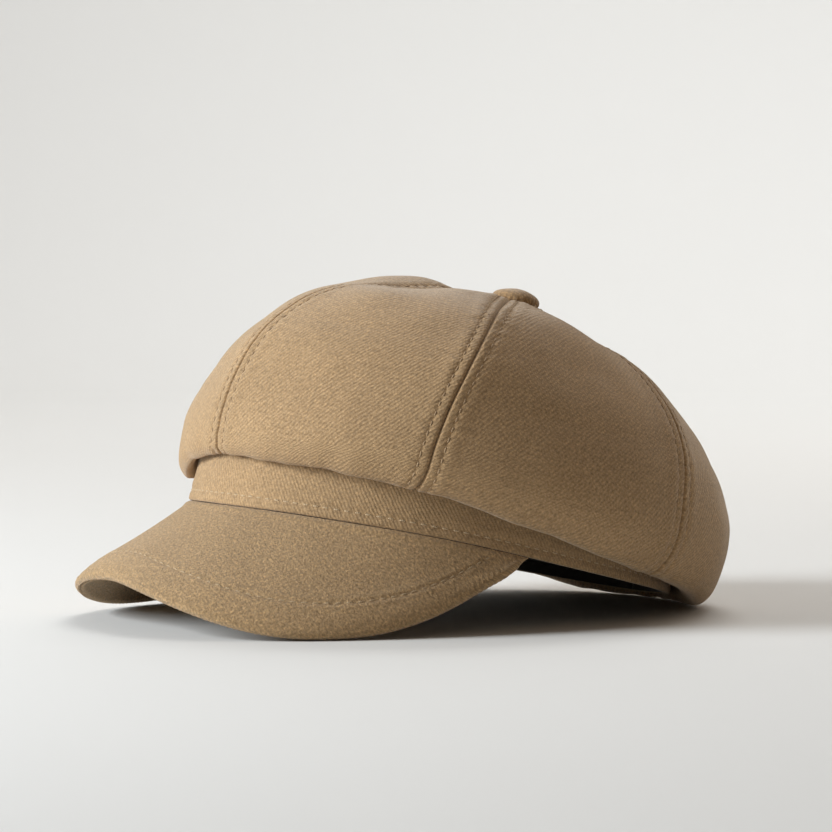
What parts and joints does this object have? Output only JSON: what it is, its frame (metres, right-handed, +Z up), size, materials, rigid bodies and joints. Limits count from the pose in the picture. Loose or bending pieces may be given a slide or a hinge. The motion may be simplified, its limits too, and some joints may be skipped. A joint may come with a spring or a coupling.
{
  "type": "newsboy cap",
  "caption": "Soft full-crown newsboy cap: pieced panels bloused over a headband, a short curved visor, and a cloth-covered button on top.",
  "frame": {"origin": "on the resting surface, under the middle of the cap's length and width", "axes": "+Z up, -Y towards the visor (front), +X towards the wearer's left; the cap is lying at rest on its visor and the back of its crown"},
  "size_m": [0.2104, 0.2676, 0.1319],
  "materials": {
    "wool_twill": "matte brushed wool twill, khaki tan, tone-on-tone topstitching",
    "wool_twill_band": "matte wool twill cut on the opposite slant, khaki tan",
    "visor_twill": "matte wool twill pulled tight over a board, one stitch row inside the rim",
    "dark_lining": "smooth dark olive-black lining, soft satin sheen",
    "sweatband_cotton": "matte dark olive-black cotton band",
    "buckram": "stiff natural buckram weave",
    "blank_label": "plain woven label, blank",
    "visor_board_plastic": "flexible dark polyethylene board",
    "pressed_metal": "thin pressed and zinc-plated steel"
  },
  "bodies": {
    "cap": {"crown_panel_front_left": "wool_twill", "crown_panel_side_left": "wool_twill", "crown_panel_rear_left": "wool_twill", "crown_panel_rear_right": "wool_twill", "crown_panel_side_right": "wool_twill", "crown_panel_front_right": "wool_twill", "lining_panel_front_left": "dark_lining", "lining_panel_side_left": "dark_lining", "lining_panel_rear_left": "dark_lining", "lining_panel_rear_right": "dark_lining", "lining_panel_side_right": "dark_lining", "lining_panel_front_right": "dark_lining", "headband": "wool_twill_band", "headband_buckram": "buckram", "sweatband": "sweatband_cotton", "size_label": "blank_label"},
    "visor": {"visor_top_cloth": "visor_twill", "visor_board": "visor_board_plastic", "visor_under_cloth": "visor_twill"},
    "button": {"button_cover": "wool_twill", "button_shell": "pressed_metal", "button_shank": "pressed_metal", "button_washer": "pressed_metal"}
  },
  "joints": [
    {"name": "visor_flex", "type": "hinge", "parent": "cap", "child": "visor", "pos_m": [0, -0.08919, 0.04786], "axis": [-1, 0, 0], "range_deg": [0, 8], "stiffness_Nm_per_rad": 0.6, "springref_deg": -14.32},
    {"name": "button_swivel", "type": "hinge", "parent": "cap", "child": "button", "pos_m": [0, 0.04983, 0.12253], "axis": [0, 0.219, 0.9757], "continuous": true}
  ]
}
